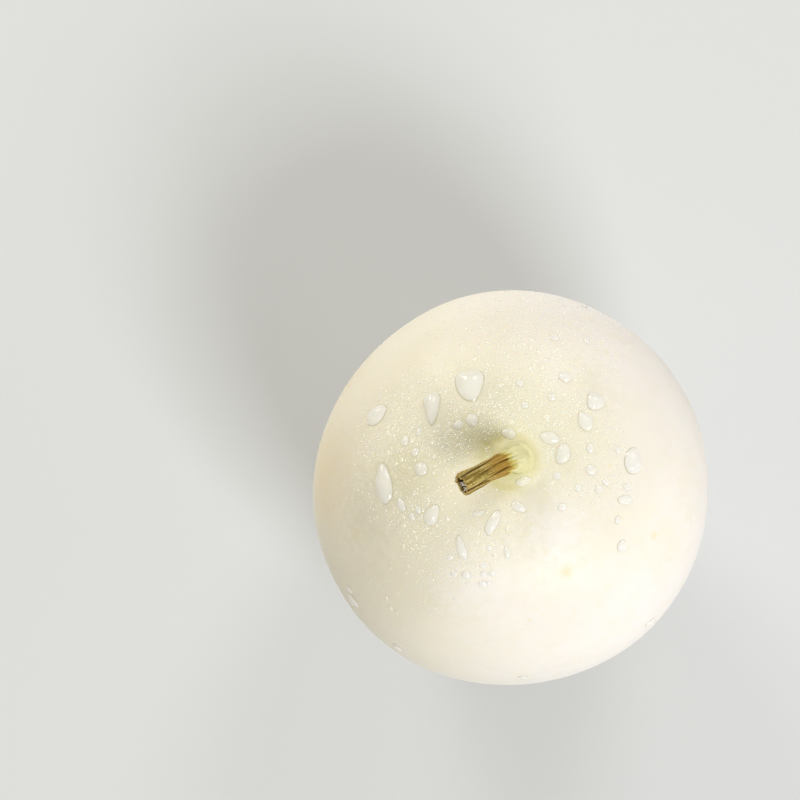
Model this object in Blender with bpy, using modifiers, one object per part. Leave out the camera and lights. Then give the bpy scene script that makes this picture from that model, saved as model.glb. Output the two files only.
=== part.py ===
"""A whole white-skinned muskmelon with its short dry stem, standing on its blossom end.

Run it with blender --background --python part.py, or from Blender's text editor.
Units are metres, +Z is up, and the origin is on the surface that the melon stands on,
under the middle of the fruit's outline seen from above.
"""

import math

import bmesh
import bpy
from mathutils import Matrix, Vector

MM = 0.001

# Fruit: the body is two halves of a superellipse turned about the growth axis.
FRUIT_WIDTH = 116 * MM
FRUIT_HEIGHT = 121 * MM  # from the resting spot up, before the hollow is sunk
FLAT_DEPTH = 1.9 * MM  # how much of the blossom end the resting spot flattens
FLAT_SOFTNESS = 0.35 * MM  # rounds the edge of the resting spot
WIDEST_AT = 0.55  # share of the height where the fruit is widest
BLOSSOM_FULLNESS = 1.85  # superellipse exponent: 2 is an ellipse, less is more pointed
STEM_FULLNESS = 2.3

# Lobes of the cross-section: waves round the girth, share of the radius, crest in degrees
LOBES = ((2, 0.0080, 40), (3, 0.0052, 85), (5, 0.0035, 31))

# Lean of the growth axis away from upright, and the way that the stem end leans
LEAN_DEG = 1.2
LEAN_TOWARDS_DEG = 258

# Stem end: a shallow hollow, a raised collar in it, and a socket for the stem's foot
HOLLOW_DEPTH = 3.4 * MM
HOLLOW_REACH = 15 * MM
COLLAR_HEIGHT = 2.3 * MM
COLLAR_REACH = 6.2 * MM
SOCKET_TAPER = 0.2 * MM
SOCKET_DEPTH = 1.3 * MM

# Blossom end: a corky scar, level with the resting spot inside a ring groove
SCAR_RADIUS = 4.6 * MM
GROOVE_WIDTH = 1.6 * MM
GROOVE_DEPTH = 0.5 * MM

# Stem: a ridged stub that rises from the socket and bends over
STEM_GAP = 0.3 * MM
STEM_RADIUS = 3.1 * MM
STEM_FOOT_SWELL = 0.12  # extra share of the radius at the foot
STEM_TIP_SWELL = 0.05
STEM_RISE = 8.0 * MM  # height of the bend's control point over the foot
STEM_REACH = 18.3 * MM  # from the growth axis to the tip, seen along the axis
STEM_TIP_HEIGHT = 13.5 * MM
STEM_TOWARDS_DEG = 212
RIDGES = 8
RIDGE_SHARE = 0.09  # depth of the ridges as a share of the radius
PITH_RADIUS = 1.15 * MM
PITH_DEPTH = 1.2 * MM

# Mesh density
GIRTH_STEPS = 72
BODY_RINGS = 24
HOLLOW_RINGS = 11
BLOSSOM_RINGS = 4
STEM_STATIONS = 15
STEM_SIDES = 48
MERGE_DISTANCE = 0.00001
SHARP_DEG = 40  # edges that turn by more than this stay sharp in smooth shading

SKIN_COLOUR = (0.86, 0.80, 0.60, 1)
SKIN_ROUGHNESS = 0.35
STEM_COLOUR = (0.30, 0.22, 0.10, 1)
STEM_ROUGHNESS = 0.8


def clear_scene():
    for obj in list(bpy.data.objects):
        bpy.data.objects.remove(obj)


def new_collection(name):
    collection = bpy.data.collections.new(name)
    bpy.context.scene.collection.children.link(collection)
    return collection


def plain_material(name, colour, roughness):
    material = bpy.data.materials.new(name)
    material.use_nodes = True
    shader = material.node_tree.nodes["Principled BSDF"]
    shader.inputs["Base Color"].default_value = colour
    shader.inputs["Roughness"].default_value = roughness
    shader.inputs["Metallic"].default_value = 0
    return material


def spaced(start, end, steps):
    """Evenly spaced values after start, up to and with end."""
    return [start + (end - start) * (i + 1) / steps for i in range(steps)]


# The turned body, measured along and out from the growth axis

FOOT_RADIUS = STEM_RADIUS * (1 + STEM_FOOT_SWELL)
SOCKET_FLOOR_RADIUS = FOOT_RADIUS + STEM_GAP
SOCKET_RADIUS = SOCKET_FLOOR_RADIUS + SOCKET_TAPER
HALF_WIDTH = FRUIT_WIDTH / 2
WHOLE_HEIGHT = FRUIT_HEIGHT + FLAT_DEPTH
WIDEST_Z = WIDEST_AT * WHOLE_HEIGHT


def superellipse(radius, fullness):
    """How far the curve still reaches along the axis, from 1 on the axis to 0 at the girth."""
    return (1 - (radius / HALF_WIDTH) ** fullness) ** (1 / fullness)


def stem_side_height(radius):
    """The upper half's height, with the hollow sunk and the collar raised in the hollow."""
    shoulder = WIDEST_Z + (WHOLE_HEIGHT - WIDEST_Z) * superellipse(radius, STEM_FULLNESS)
    hollow = HOLLOW_DEPTH * math.exp(-((radius / HOLLOW_REACH) ** 2))
    collar = COLLAR_HEIGHT * math.exp(-((radius / COLLAR_REACH) ** 4))
    return shoulder - hollow + collar


def blossom_side_height(radius):
    """The lower half's height, with nothing flattened yet."""
    return WIDEST_Z * (1 - superellipse(radius, BLOSSOM_FULLNESS))


SOCKET_FLOOR_Z = stem_side_height(SOCKET_RADIUS) - SOCKET_DEPTH
HOLLOW_EDGE = 2 * HOLLOW_REACH
BLOSSOM_EDGE = 16 * MM


def fruit_profile():
    """(radius, height) points from the stem's socket down to the middle of the scar."""
    points = [(0, SOCKET_FLOOR_Z), (SOCKET_FLOOR_RADIUS, SOCKET_FLOOR_Z)]
    for share in [0] + spaced(0, 1, HOLLOW_RINGS):
        radius = SOCKET_RADIUS + (HOLLOW_EDGE - SOCKET_RADIUS) * share**1.5
        points.append((radius, stem_side_height(radius)))
    top = math.asin(HOLLOW_EDGE / HALF_WIDTH)
    bottom = math.pi - math.asin(BLOSSOM_EDGE / HALF_WIDTH)
    for angle in spaced(top, bottom, BODY_RINGS):
        radius = HALF_WIDTH * math.sin(angle)
        side_height = stem_side_height if angle < math.pi / 2 else blossom_side_height
        points.append((radius, side_height(radius)))
    blossom_rings = spaced(BLOSSOM_EDGE, SCAR_RADIUS + GROOVE_WIDTH, BLOSSOM_RINGS)
    for radius in blossom_rings + [SCAR_RADIUS + GROOVE_WIDTH / 2, SCAR_RADIUS, 0]:
        points.append((radius, blossom_side_height(radius)))
    return points


def turned_mesh(name, profile):
    """The profile turned about Z with a Screw modifier, as a mesh."""
    edges = [(i, i + 1) for i in range(len(profile) - 1)]
    outline = bpy.data.meshes.new(name)
    outline.from_pydata([(radius, 0, height) for radius, height in profile], edges, [])
    turned = bpy.data.objects.new(name, outline)
    bpy.context.scene.collection.objects.link(turned)
    screw = turned.modifiers.new("turn", "SCREW")
    screw.steps = screw.render_steps = GIRTH_STEPS
    screw.use_merge_vertices = True
    screw.merge_threshold = MERGE_DISTANCE
    bpy.context.view_layer.update()
    graph = bpy.context.evaluated_depsgraph_get()
    mesh = bpy.data.meshes.new_from_object(turned.evaluated_get(graph))
    bpy.data.objects.remove(turned)
    return mesh


def add_lobes(mesh):
    """Swells the cross-section into its lobes, which fade out towards the axis."""
    for vertex in mesh.vertices:
        x, y, z = vertex.co
        around = math.atan2(y, x)
        fade = (math.hypot(x, y) / HALF_WIDTH) ** 2
        swell = 1 + fade * sum(
            share * math.cos(waves * (around - math.radians(crest)))
            for waves, share, crest in LOBES
        )
        vertex.co = (x * swell, y * swell, z)


def lean_matrix():
    """Turns the upright growth axis by the lean."""
    towards = math.radians(LEAN_TOWARDS_DEG)
    hinge = Vector((-math.sin(towards), math.cos(towards), 0))
    return Matrix.Rotation(math.radians(LEAN_DEG), 4, hinge)


def standing_matrix(mesh):
    """Leans the fruit and sets it over the origin, sunk by the depth of its resting spot."""
    lean = lean_matrix()
    points = [lean @ vertex.co for vertex in mesh.vertices]
    low = Vector([min(axis) for axis in zip(*points)])
    high = Vector([max(axis) for axis in zip(*points)])
    middle = (low + high) / 2
    return Matrix.Translation((-middle.x, -middle.y, -low.z - FLAT_DEPTH)) @ lean


def pressed_height(z):
    """Height over the surface after the resting spot is pressed flat, with a soft edge."""
    if z <= -FLAT_SOFTNESS:
        return 0.0
    if z >= FLAT_SOFTNESS:
        return z
    return (z + FLAT_SOFTNESS) ** 2 / (4 * FLAT_SOFTNESS)


def press_resting_spot(mesh, standing):
    """Flattens the blossom end on the surface, and sinks the ring groove round the scar."""
    groove_middle = SCAR_RADIUS + GROOVE_WIDTH / 2
    back = standing.inverted()
    for vertex in mesh.vertices:
        out = math.hypot(vertex.co.x, vertex.co.y)
        in_groove = vertex.co.z < WIDEST_Z and abs(out - groove_middle) < GROOVE_WIDTH / 4
        point = standing @ vertex.co
        point.z = pressed_height(point.z) + GROOVE_DEPTH * in_groove
        vertex.co = back @ point


def make_fruit(collection, growth_axis):
    mesh = turned_mesh("fruit", fruit_profile())
    add_lobes(mesh)
    growth_axis.matrix_world = standing_matrix(mesh)
    press_resting_spot(mesh, growth_axis.matrix_world)
    mesh.shade_smooth()
    mesh.set_sharp_from_angle(angle=math.radians(SHARP_DEG))
    mesh.materials.append(plain_material("melon_skin", SKIN_COLOUR, SKIN_ROUGHNESS))
    fruit = bpy.data.objects.new("fruit", mesh)
    fruit.parent = growth_axis
    collection.objects.link(fruit)
    return fruit


# The stem, along a quadratic curve from its foot on the growth axis to its tip


def stem_controls():
    """The curve's foot, the bend that it rises towards, and its tip."""
    towards = math.radians(STEM_TOWARDS_DEG)
    foot = Vector((0, 0, SOCKET_FLOOR_Z + STEM_GAP))
    bend = foot + Vector((0, 0, STEM_RISE))
    out = Vector((math.cos(towards), math.sin(towards), 0))
    tip = foot + out * STEM_REACH + Vector((0, 0, STEM_TIP_HEIGHT))
    return foot, bend, tip


def stem_point(share):
    """A point on the stem's centre line, from the foot at 0 to the tip at 1."""
    foot, bend, tip = stem_controls()
    return foot * (1 - share) ** 2 + bend * (2 * share * (1 - share)) + tip * share**2


def stem_girth(share):
    """Radius of the stem as a share of its plain radius: swollen at the foot and the tip."""
    return 1 + STEM_FOOT_SWELL * (1 - share) ** 6 + STEM_TIP_SWELL * share**8


def ridged_outline():
    """A closed curve with the stem's ridges, which the stem is swept from."""
    curve = bpy.data.curves.new("ridged_outline", "CURVE")
    curve.dimensions = "2D"
    spline = curve.splines.new("POLY")
    spline.points.add(STEM_SIDES - 1)
    for i, point in enumerate(spline.points):
        angle = 2 * math.pi * i / STEM_SIDES
        radius = STEM_RADIUS * (1 - RIDGE_SHARE * (1 - math.cos(RIDGES * angle)) / 2)
        point.co = (radius * math.cos(angle), radius * math.sin(angle), 0, 1)
    spline.use_cyclic_u = True
    return curve


def sink_pith(mesh):
    """Hollows the middle of the cut end, where the dry pith has shrunk back."""
    _, bend, tip = stem_controls()
    inward = (bend - tip).normalized()
    shape = bmesh.new()
    shape.from_mesh(mesh)
    bmesh.ops.remove_doubles(shape, verts=shape.verts, dist=MERGE_DISTANCE)
    end = min(shape.faces, key=lambda face: (face.calc_center_median() - tip).length)
    bmesh.ops.inset_region(shape, faces=[end], thickness=STEM_RADIUS - PITH_RADIUS)
    bmesh.ops.translate(shape, verts=end.verts, vec=inward * PITH_DEPTH)
    bmesh.ops.recalc_face_normals(shape, faces=shape.faces)
    shape.to_mesh(mesh)
    shape.free()


def make_stem(collection, growth_axis):
    outline = bpy.data.objects.new("ridged_outline", ridged_outline())
    outline.hide_render = True
    path = bpy.data.curves.new("stem_path", "CURVE")
    path.dimensions = "3D"
    path.bevel_mode = "OBJECT"
    path.bevel_object = outline
    path.use_fill_caps = True
    spline = path.splines.new("POLY")
    spline.points.add(STEM_STATIONS - 1)
    for i, point in enumerate(spline.points):
        share = i / (STEM_STATIONS - 1)
        point.co = (*stem_point(share), 1)
        point.radius = stem_girth(share)
    swept = bpy.data.objects.new("stem_path", path)
    for helper in (outline, swept):
        collection.objects.link(helper)
    bpy.context.view_layer.update()
    graph = bpy.context.evaluated_depsgraph_get()
    mesh = bpy.data.meshes.new_from_object(swept.evaluated_get(graph))
    mesh.name = "stem"
    for helper in (outline, swept):
        bpy.data.objects.remove(helper)
    sink_pith(mesh)
    mesh.shade_smooth()
    mesh.set_sharp_from_angle(angle=math.radians(SHARP_DEG))
    mesh.materials.clear()
    mesh.materials.append(plain_material("dry_stem", STEM_COLOUR, STEM_ROUGHNESS))
    stem = bpy.data.objects.new("stem", mesh)
    stem.parent = growth_axis
    collection.objects.link(stem)
    return stem


def main():
    clear_scene()
    melon = new_collection("muskmelon")
    growth_axis = bpy.data.objects.new("growth_axis", None)
    melon.objects.link(growth_axis)
    make_fruit(melon, growth_axis)
    make_stem(melon, growth_axis)


main()
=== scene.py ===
"""Dresses the muskmelon: waxy skin, dry ridged stem, and the water that has been sprinkled on it.

The file is laid out as an add-on. Run as a script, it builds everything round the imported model.
Units are metres and +Z is up. The picture looks down, with +X to its right and +Y to its top.
"""

import math
import random
from typing import NamedTuple

import bmesh
import bpy
from bpy.props import FloatProperty, FloatVectorProperty, IntProperty, PointerProperty
from mathutils import Matrix, Vector, noise
from mathutils.bvhtree import BVHTree


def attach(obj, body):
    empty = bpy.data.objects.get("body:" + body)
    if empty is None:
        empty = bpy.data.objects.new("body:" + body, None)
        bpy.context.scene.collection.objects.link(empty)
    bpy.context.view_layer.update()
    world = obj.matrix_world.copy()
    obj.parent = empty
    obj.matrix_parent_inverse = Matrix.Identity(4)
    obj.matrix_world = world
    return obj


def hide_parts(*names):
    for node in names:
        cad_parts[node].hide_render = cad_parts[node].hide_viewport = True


bl_info = {
    "name": "Muskmelon",
    "version": (1, 0, 0),
    "blender": (4, 5, 0),
    "location": "3D View > Sidebar > Muskmelon",
    "description": "Dresses a muskmelon with its skin, stem and water drops, and sets its stage",
    "category": "Object",
}

MM = 0.001
BODY = "root"
PICTURE_SIDE = 800  # pixels
SENSOR_SIDE = 36  # millimetres

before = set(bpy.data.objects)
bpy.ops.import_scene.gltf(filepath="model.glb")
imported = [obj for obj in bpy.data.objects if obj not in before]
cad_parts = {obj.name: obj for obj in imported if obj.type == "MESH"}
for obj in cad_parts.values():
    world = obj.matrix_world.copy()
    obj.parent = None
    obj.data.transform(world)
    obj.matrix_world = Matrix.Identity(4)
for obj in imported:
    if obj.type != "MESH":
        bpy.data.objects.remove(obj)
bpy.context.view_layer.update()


# Settings


def length(name, description, default):
    return FloatProperty(
        name=name, description=description, default=default, unit="LENGTH", precision=5
    )


def share(name, description, default):
    return FloatProperty(name=name, description=description, default=default, precision=4)


def angle(name, description, default_deg):
    return FloatProperty(
        name=name, description=description, default=math.radians(default_deg), subtype="ANGLE"
    )


def count(name, description, default):
    return IntProperty(name=name, description=description, default=default, min=0)


def colour(name, description, default):
    return FloatVectorProperty(
        name=name, description=description, default=default, subtype="COLOR", min=0, max=1
    )


class FruitSettings(bpy.types.PropertyGroup):
    width: length("Width", "Mean diameter at the girth", 116 * MM)
    height: length("Height", "From the resting spot up, before the hollow is sunk", 121 * MM)
    flat_depth: length("Flat depth", "How much of the blossom end is pressed flat", 1.9 * MM)
    flat_softness: length("Flat softness", "Rounds the edge of the resting spot", 0.35 * MM)
    widest_at: share("Widest at", "Share of the height where the fruit is widest", 0.55)
    blossom_fullness: share("Blossom fullness", "Superellipse exponent of the lower half", 1.85)
    stem_fullness: share("Stem fullness", "Superellipse exponent of the upper half", 2.3)
    lean: angle("Lean", "How far the growth axis leans from upright", 1.2)
    lean_towards: angle("Lean towards", "The way that the stem end leans", 258)
    hollow_depth: length("Hollow depth", "Depth of the hollow round the stem", 3.4 * MM)
    hollow_reach: length("Hollow reach", "Radius where the hollow has mostly run out", 15 * MM)
    collar_height: length("Collar height", "Height of the collar in the hollow", 2.3 * MM)
    collar_reach: length("Collar reach", "Radius of the collar", 6.2 * MM)
    lip_radius: length("Lip radius", "Radius of the mouth where the stem stands", 3.85 * MM)
    socket_depth: length("Socket depth", "Depth of the socket under the mouth", 1.3 * MM)
    scar_radius: length("Scar radius", "Radius of the corky blossom scar", 4.6 * MM)
    groove_width: length("Groove width", "Width of the ring groove round the scar", 1.6 * MM)
    groove_depth: length("Groove depth", "Depth of the ring groove round the scar", 0.5 * MM)
    unevenness: length("Unevenness", "Height of the faint unevenness of the skin", 0.3 * MM)
    skin_colour: colour("Skin colour", "Pale cream of the ripe skin", (0.855, 0.813, 0.787))
    # Deeper cream: where it covers the side away from the lamps it is partly the skin's own tone,
    # partly painted shade.
    cream_colour: colour("Cream colour", "Cream of the shaded side", (0.80, 0.755, 0.63))
    green_colour: colour("Green colour", "Tinge of the less ripe skin", (0.74, 0.71, 0.52))
    halo_colour: colour("Halo colour", "Yellow-green of the collar", (0.70, 0.66, 0.38))
    # Warm tinge of the faint marks; on the left rim it is partly a painted warm reflection.
    blush_colour: colour("Blush colour", "Warm tinge of the faint marks", (0.80, 0.62, 0.30))
    # Mottles of the collar, and its rim: partly the rim's own olive, partly painted shade in the
    # crease round it.
    moss_colour: colour("Moss colour", "Mottles and rim of the collar", (0.62, 0.56, 0.20))
    # Partly an olive stain, partly painted shade: the stem's shadow and the flank away from the
    # lamps.
    olive_colour: colour("Olive colour", "Dull olive in the lee of the stem", (0.50, 0.46, 0.17))
    # Painted light where the key lamp falls, partly paler skin; also painted highlights of wet
    # patches.
    pale_painted_light_colour: colour("Pale colour", "Nearly white skin that lay in the sun", (0.90, 0.87, 0.86))
    # Painted shade: darkens the skin where the lamps leave it in shade.
    painted_shade_colour: colour("Dull colour", "Duller patches among the drops", (0.60, 0.57, 0.46))
    scar_colour: colour("Scar colour", "Cork of the scar and the specks", (0.45, 0.28, 0.13))


class StemSettings(bpy.types.PropertyGroup):
    radius: length("Radius", "Mean radius over the ridges", 3.1 * MM)
    rise: length("Rise", "Height of the bend's control point over the foot", 8 * MM)
    reach: length("Reach", "From the growth axis to the tip, along the skin", 18.3 * MM)
    tip_height: length("Tip height", "Height of the tip over the foot", 13.5 * MM)
    towards: angle("Towards", "The way that the stem bends", 210)
    gap: length("Gap", "Between the foot and the socket's floor", 0.3 * MM)
    pith_depth: length("Pith depth", "Depth of the hollow in the cut end", 1.8 * MM)
    shred_seed: count("Shred seed", "Start of the random draws for the torn fibres", 11)
    shred_count: count("Shreds", "How many torn fibres stand in the cut end", 16)
    bark_colour: colour("Bark colour", "Brown of the dry ribs", (0.38, 0.26, 0.06))
    old_colour: colour("Old colour", "Darker strands of the bark", (0.20, 0.125, 0.02))
    olive_colour: colour("Olive colour", "Ribs that are still a little green", (0.44, 0.37, 0.09))
    # Bleached ribs; on the side that faces the key lamp this is also painted light.
    dry_colour: colour("Dry colour", "Ribs that have bleached", (0.62, 0.46, 0.17))
    light_colour: colour("Light colour", "Strands that caught the sun", (0.70, 0.58, 0.24))
    rust_colour: colour("Rust colour", "Bark where it ends at the root", (0.40, 0.23, 0.04))
    turning_colour: colour("Turning colour", "Root that is drying out", (0.62, 0.53, 0.14))
    # Painted shade: darkens the furrows between the ribs and the sunk hollow of the cut end.
    painted_groove_shade_colour: colour("Groove colour", "Dark furrows between the ribs", (0.075, 0.035, 0.006))
    root_colour: colour("Root colour", "Yellow-green of the fresh root", (0.775, 0.74, 0.435))
    fibre_colour: colour("Fibre colour", "Pale torn fibres at the cut", (0.76, 0.71, 0.60))


class WaterSettings(bpy.types.PropertyGroup):
    seed: count("Seed", "Start of the random draws", 7)
    dome: share("Dome", "Height of a drop as a share of its width", 0.27)
    contact: angle("Contact angle", "Slope of a drop's edge on the wax", 62)
    bead_count: count("Beads", "How many small beads stand among the drops", 290)
    mist_count: count("Mist", "How many specks the mist has", 6400)
    bending: share("Bending", "Index of refraction of the drops", 1.36)
    mist_bending: share("Mist bending", "Index of refraction of the beads and the mist", 1.45)
    # Painted reflection: this line and the next set how much of the water is white, which stands
    # in for reflections, glints and focused light.
    painted_reflection_share: share("Milkiness", "How much white the drops show", 0.42)
    mist_painted_reflection_share: share("Mist milkiness", "How much white the beads and the mist show", 0.38)
    # Tints of the water and of its white share, which is painted reflection, in this line and the
    # next.
    water_colour: colour("Water colour", "White of the drops", (0.945, 0.955, 0.97))
    mist_colour: colour("Mist colour", "White of the beads and the mist", (1.0, 0.98, 0.91))
    # Painted shade: darkens a drop's steep edge, standing in for the dark rim that refraction
    # shows.
    painted_edge_shade_colour: colour("Rim colour", "Skin seen through a drop's steep edge", (0.52, 0.48, 0.32))
    shade_colour: colour("Shade", "What the drops leave of the lamps' light", (0.88, 0.88, 0.86))
    mist_shade: colour("Mist shade", "What the mist leaves of that light", (0.91, 0.915, 0.89))


class StageSettings(bpy.types.PropertyGroup):
    elevation: angle("Elevation", "The camera's height over the horizon", 78)
    distance: length("Distance", "From the camera to the point that it aims at", 829.5 * MM)
    aim_x: length("Aim X", "The point that the camera aims at", -32.3 * MM)
    aim_y: length("Aim Y", "The point that the camera aims at", 40.6 * MM)
    lens: share("Lens", "Focal length in millimetres on a 36 mm sensor", 115.43)
    floor_side: length("Floor side", "Length of the floor's sides", 12.0)
    floor_colour: colour("Floor colour", "Pale floor", (0.62, 0.64, 0.66))
    cloud_colour: colour("Cloud colour", "Faint clouds in the floor", (0.7, 0.7, 0.7))
    sky_colour: colour("Sky colour", "Light from all round", (1.0, 0.95, 0.83))
    sky_strength: share("Sky strength", "Strength of the light from all round", 0.42)


SETTINGS = {
    "melon_fruit": FruitSettings,
    "melon_stem": StemSettings,
    "melon_water": WaterSettings,
    "melon_stage": StageSettings,
}


# Shader graphs

COLOUR_A, COLOUR_B, COLOUR_RESULT = 6, 7, 2  # sockets that a Mix node has for colours


class Signal:
    """A number that varies over a surface. Python's operators on it add Math nodes."""

    def __init__(self, graph, output):
        self.graph, self.output = graph, output

    def maths(self, operation, *values):
        return self.graph.node("ShaderNodeMath", {"operation": operation}, dict(enumerate(values)))

    def __add__(self, other):
        return self.maths("ADD", self, other)

    def __sub__(self, other):
        return self.maths("SUBTRACT", self, other)

    def __rsub__(self, other):
        return self.maths("SUBTRACT", other, self)

    def __mul__(self, other):
        return self.maths("MULTIPLY", self, other)

    __radd__ = __add__
    __rmul__ = __mul__

    def rise(self, start, end):
        """0 below start, 1 above end, and a soft step between. It falls if end is the lower."""
        return self.graph.node(
            "ShaderNodeMapRange",
            {"interpolation_type": "SMOOTHSTEP"},
            {"Value": self, "From Min": start, "From Max": end},
        )


class Graph:
    """One material and its nodes."""

    def __init__(self, name):
        self.material = bpy.data.materials.new(name)
        self.material.use_nodes = True
        self.tree = self.material.node_tree
        self.tree.nodes.clear()

    def node(self, kind, settings=None, inputs=None, output=0):
        """Adds a node, its settings before its sockets, and gives one of its outputs, if any."""
        made = self.tree.nodes.new(kind)
        for name, value in (settings or {}).items():
            setattr(made, name, value)
        for name, value in (inputs or {}).items():
            if isinstance(value, Signal):
                self.tree.links.new(value.output, made.inputs[name])
            else:
                made.inputs[name].default_value = value
        return Signal(self, made.outputs[output]) if made.outputs else None

    def place(self):
        return self.node("ShaderNodeTexCoord", output="Object")

    def distance(self, point):
        """How far the surface is from a point."""
        settings = {"operation": "DISTANCE"}
        return self.node("ShaderNodeVectorMath", settings, {0: self.place(), 1: point}, "Value")

    def attribute(self, name):
        return self.node("ShaderNodeAttribute", {"attribute_name": name}, output="Fac")

    def noise(self, grain, detail=2.0, roughness=0.5):
        """Noise with swells of about the grain's size, from 0 to 1."""
        sockets = {"Vector": self.place(), "Scale": 1 / grain}
        sockets.update({"Detail": detail, "Roughness": roughness})
        return self.node("ShaderNodeTexNoise", None, sockets)

    def mix(self, factor, first, second):
        """Blends two colours."""
        sockets = {0: factor}
        for index, value in ((COLOUR_A, first), (COLOUR_B, second)):
            sockets[index] = value if isinstance(value, Signal) else (*value, 1)
        return self.node("ShaderNodeMix", {"data_type": "RGBA"}, sockets, COLOUR_RESULT)

    def layered(self, tone, *layers):
        """Lays colours over a tone in turn. Each layer is a (factor, colour) pair."""
        for factor, over in layers:
            tone = self.mix(factor, tone, over)
        return tone

    def bump(self, height, strength, distance):
        sockets = {"Height": height, "Strength": strength, "Distance": distance}
        return self.node("ShaderNodeBump", None, sockets)

    def finish(self, shader):
        self.node("ShaderNodeOutputMaterial", None, {"Surface": shader})
        return self.material


# Meshes


def spaced(start, end, steps):
    """Evenly spaced values after start, up to and with end."""
    return [start + (end - start) * (i + 1) / steps for i in range(steps)]


def blend(value, start, end):
    """0 before start and 1 after end, with a soft step between."""
    part = min(max((value - start) / (end - start), 0), 1)
    return part * part * (3 - 2 * part)


def ring_point(turn, out=1.0, height=0.0):
    """The point at an angle round the upright axis."""
    return Vector((out * math.cos(turn), out * math.sin(turn), height))


def plain_mesh(shape, name):
    """Turns a bmesh that is done into a mesh."""
    mesh = bpy.data.meshes.new(name)
    shape.to_mesh(mesh)
    shape.free()
    return mesh


def smooth_mesh(shape, name):
    """A closed, smooth mesh whose faces point outwards."""
    bmesh.ops.recalc_face_normals(shape, faces=shape.faces)
    mesh = plain_mesh(shape, name)
    mesh.shade_smooth()
    return mesh


class Template:
    """A small mesh that is stamped into a larger one again and again."""

    def __init__(self, shape):
        self.mesh = plain_mesh(shape, "template")
        self.corners = [vertex.co.copy() for vertex in self.mesh.vertices]

    def stamp(self, shape, moved):
        """Adds a copy whose corners stand where the function puts them."""
        for vertex, corner in zip(self.mesh.vertices, self.corners):
            vertex.co = moved(corner)
        shape.from_mesh(self.mesh)


# The fruit's form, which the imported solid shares


class Lobe(NamedTuple):
    """Waves round the girth, their share of the radius, and where a crest stands."""

    waves: int
    part: float
    crest_deg: float


LOBES = (Lobe(2, 0.0080, 40), Lobe(3, 0.0052, 85), Lobe(5, 0.0035, 31))
GIRTH_STEPS = 320
SOCKET_RINGS = 8
COLLAR_RINGS = 110
BODY_RINGS = 110
UNDER_RINGS = 20
GROOVE_RINGS = 8
SCAR_RINGS = 6
TRIAL_STEPS = 72  # round the girth, while the fruit's place is worked out
UNDER_EDGE = 16 * MM  # radius where the rings of the underside start
WALL_FOOT = 0.96  # share of the mouth's radius where the socket's wall stands on its floor
MOUTH_ROUNDING = 0.25 * MM
MOUTH_SOFTNESS = 0.15 * MM
COLLAR_CROWDING = 1.6  # draws the rings together near the mouth


class Fruit:
    """Where the fruit's surface and its growth axis lie."""

    def __init__(self, settings):
        self.sizes = settings
        self.half = settings.width / 2
        self.whole = settings.height + settings.flat_depth
        self.widest = settings.widest_at * self.whole
        self.mouth = self.stem_side(settings.lip_radius)
        self.socket_floor = self.mouth - settings.socket_depth
        self.standing = self.find_standing()

    def reach(self, radius, fullness):
        return max(1 - (radius / self.half) ** fullness, 0) ** (1 / fullness)

    def stem_side(self, radius):
        sizes = self.sizes
        shoulder = (self.whole - self.widest) * self.reach(radius, sizes.stem_fullness)
        hollow = sizes.hollow_depth * math.exp(-((radius / sizes.hollow_reach) ** 2))
        collar = sizes.collar_height * math.exp(-((radius / sizes.collar_reach) ** 4))
        return self.widest + shoulder - hollow + collar

    def blossom_side(self, radius):
        return self.widest * (1 - self.reach(radius, self.sizes.blossom_fullness))

    def girth_points(self):
        """(radius, height) points from the shoulder down to the underside."""
        top = math.asin(2 * self.sizes.hollow_reach / self.half)
        bottom = math.pi - math.asin(UNDER_EDGE / self.half)
        points = []
        for turn in spaced(top, bottom, BODY_RINGS):
            radius = self.half * math.sin(turn)
            height = self.stem_side(radius) if turn < math.pi / 2 else self.blossom_side(radius)
            points.append((radius, height))
        return points

    def lobed(self, point):
        """The point after the cross-section has swelled into its lobes."""
        around = math.atan2(point.y, point.x)
        fade = (math.hypot(point.x, point.y) / self.half) ** 2
        swell = 1 + fade * sum(
            lobe.part * math.cos(lobe.waves * (around - math.radians(lobe.crest_deg)))
            for lobe in LOBES
        )
        return Vector((point.x * swell, point.y * swell, point.z))

    def find_standing(self):
        """Leans the growth axis and sets the fruit over the origin, sunk by its resting spot."""
        sizes = self.sizes
        hinge = Vector((-math.sin(sizes.lean_towards), math.cos(sizes.lean_towards), 0))
        lean = Matrix.Rotation(sizes.lean, 4, hinge)
        points = [
            lean @ self.lobed(ring_point(turn, radius, height))
            for radius, height in [*self.girth_points(), (0, 0)]
            for turn in spaced(0, math.tau, TRIAL_STEPS)
        ]
        low = Vector([min(axis) for axis in zip(*points)])
        high = Vector([max(axis) for axis in zip(*points)])
        middle = (low + high) / 2
        return Matrix.Translation((-middle.x, -middle.y, -low.z - sizes.flat_depth)) @ lean

    def pressed(self, z):
        """A height after the blossom end has been pressed flat on the floor."""
        soft = self.sizes.flat_softness
        if z <= -soft:
            return 0.0
        return z if z >= soft else (z + soft) ** 2 / (4 * soft)


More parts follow.
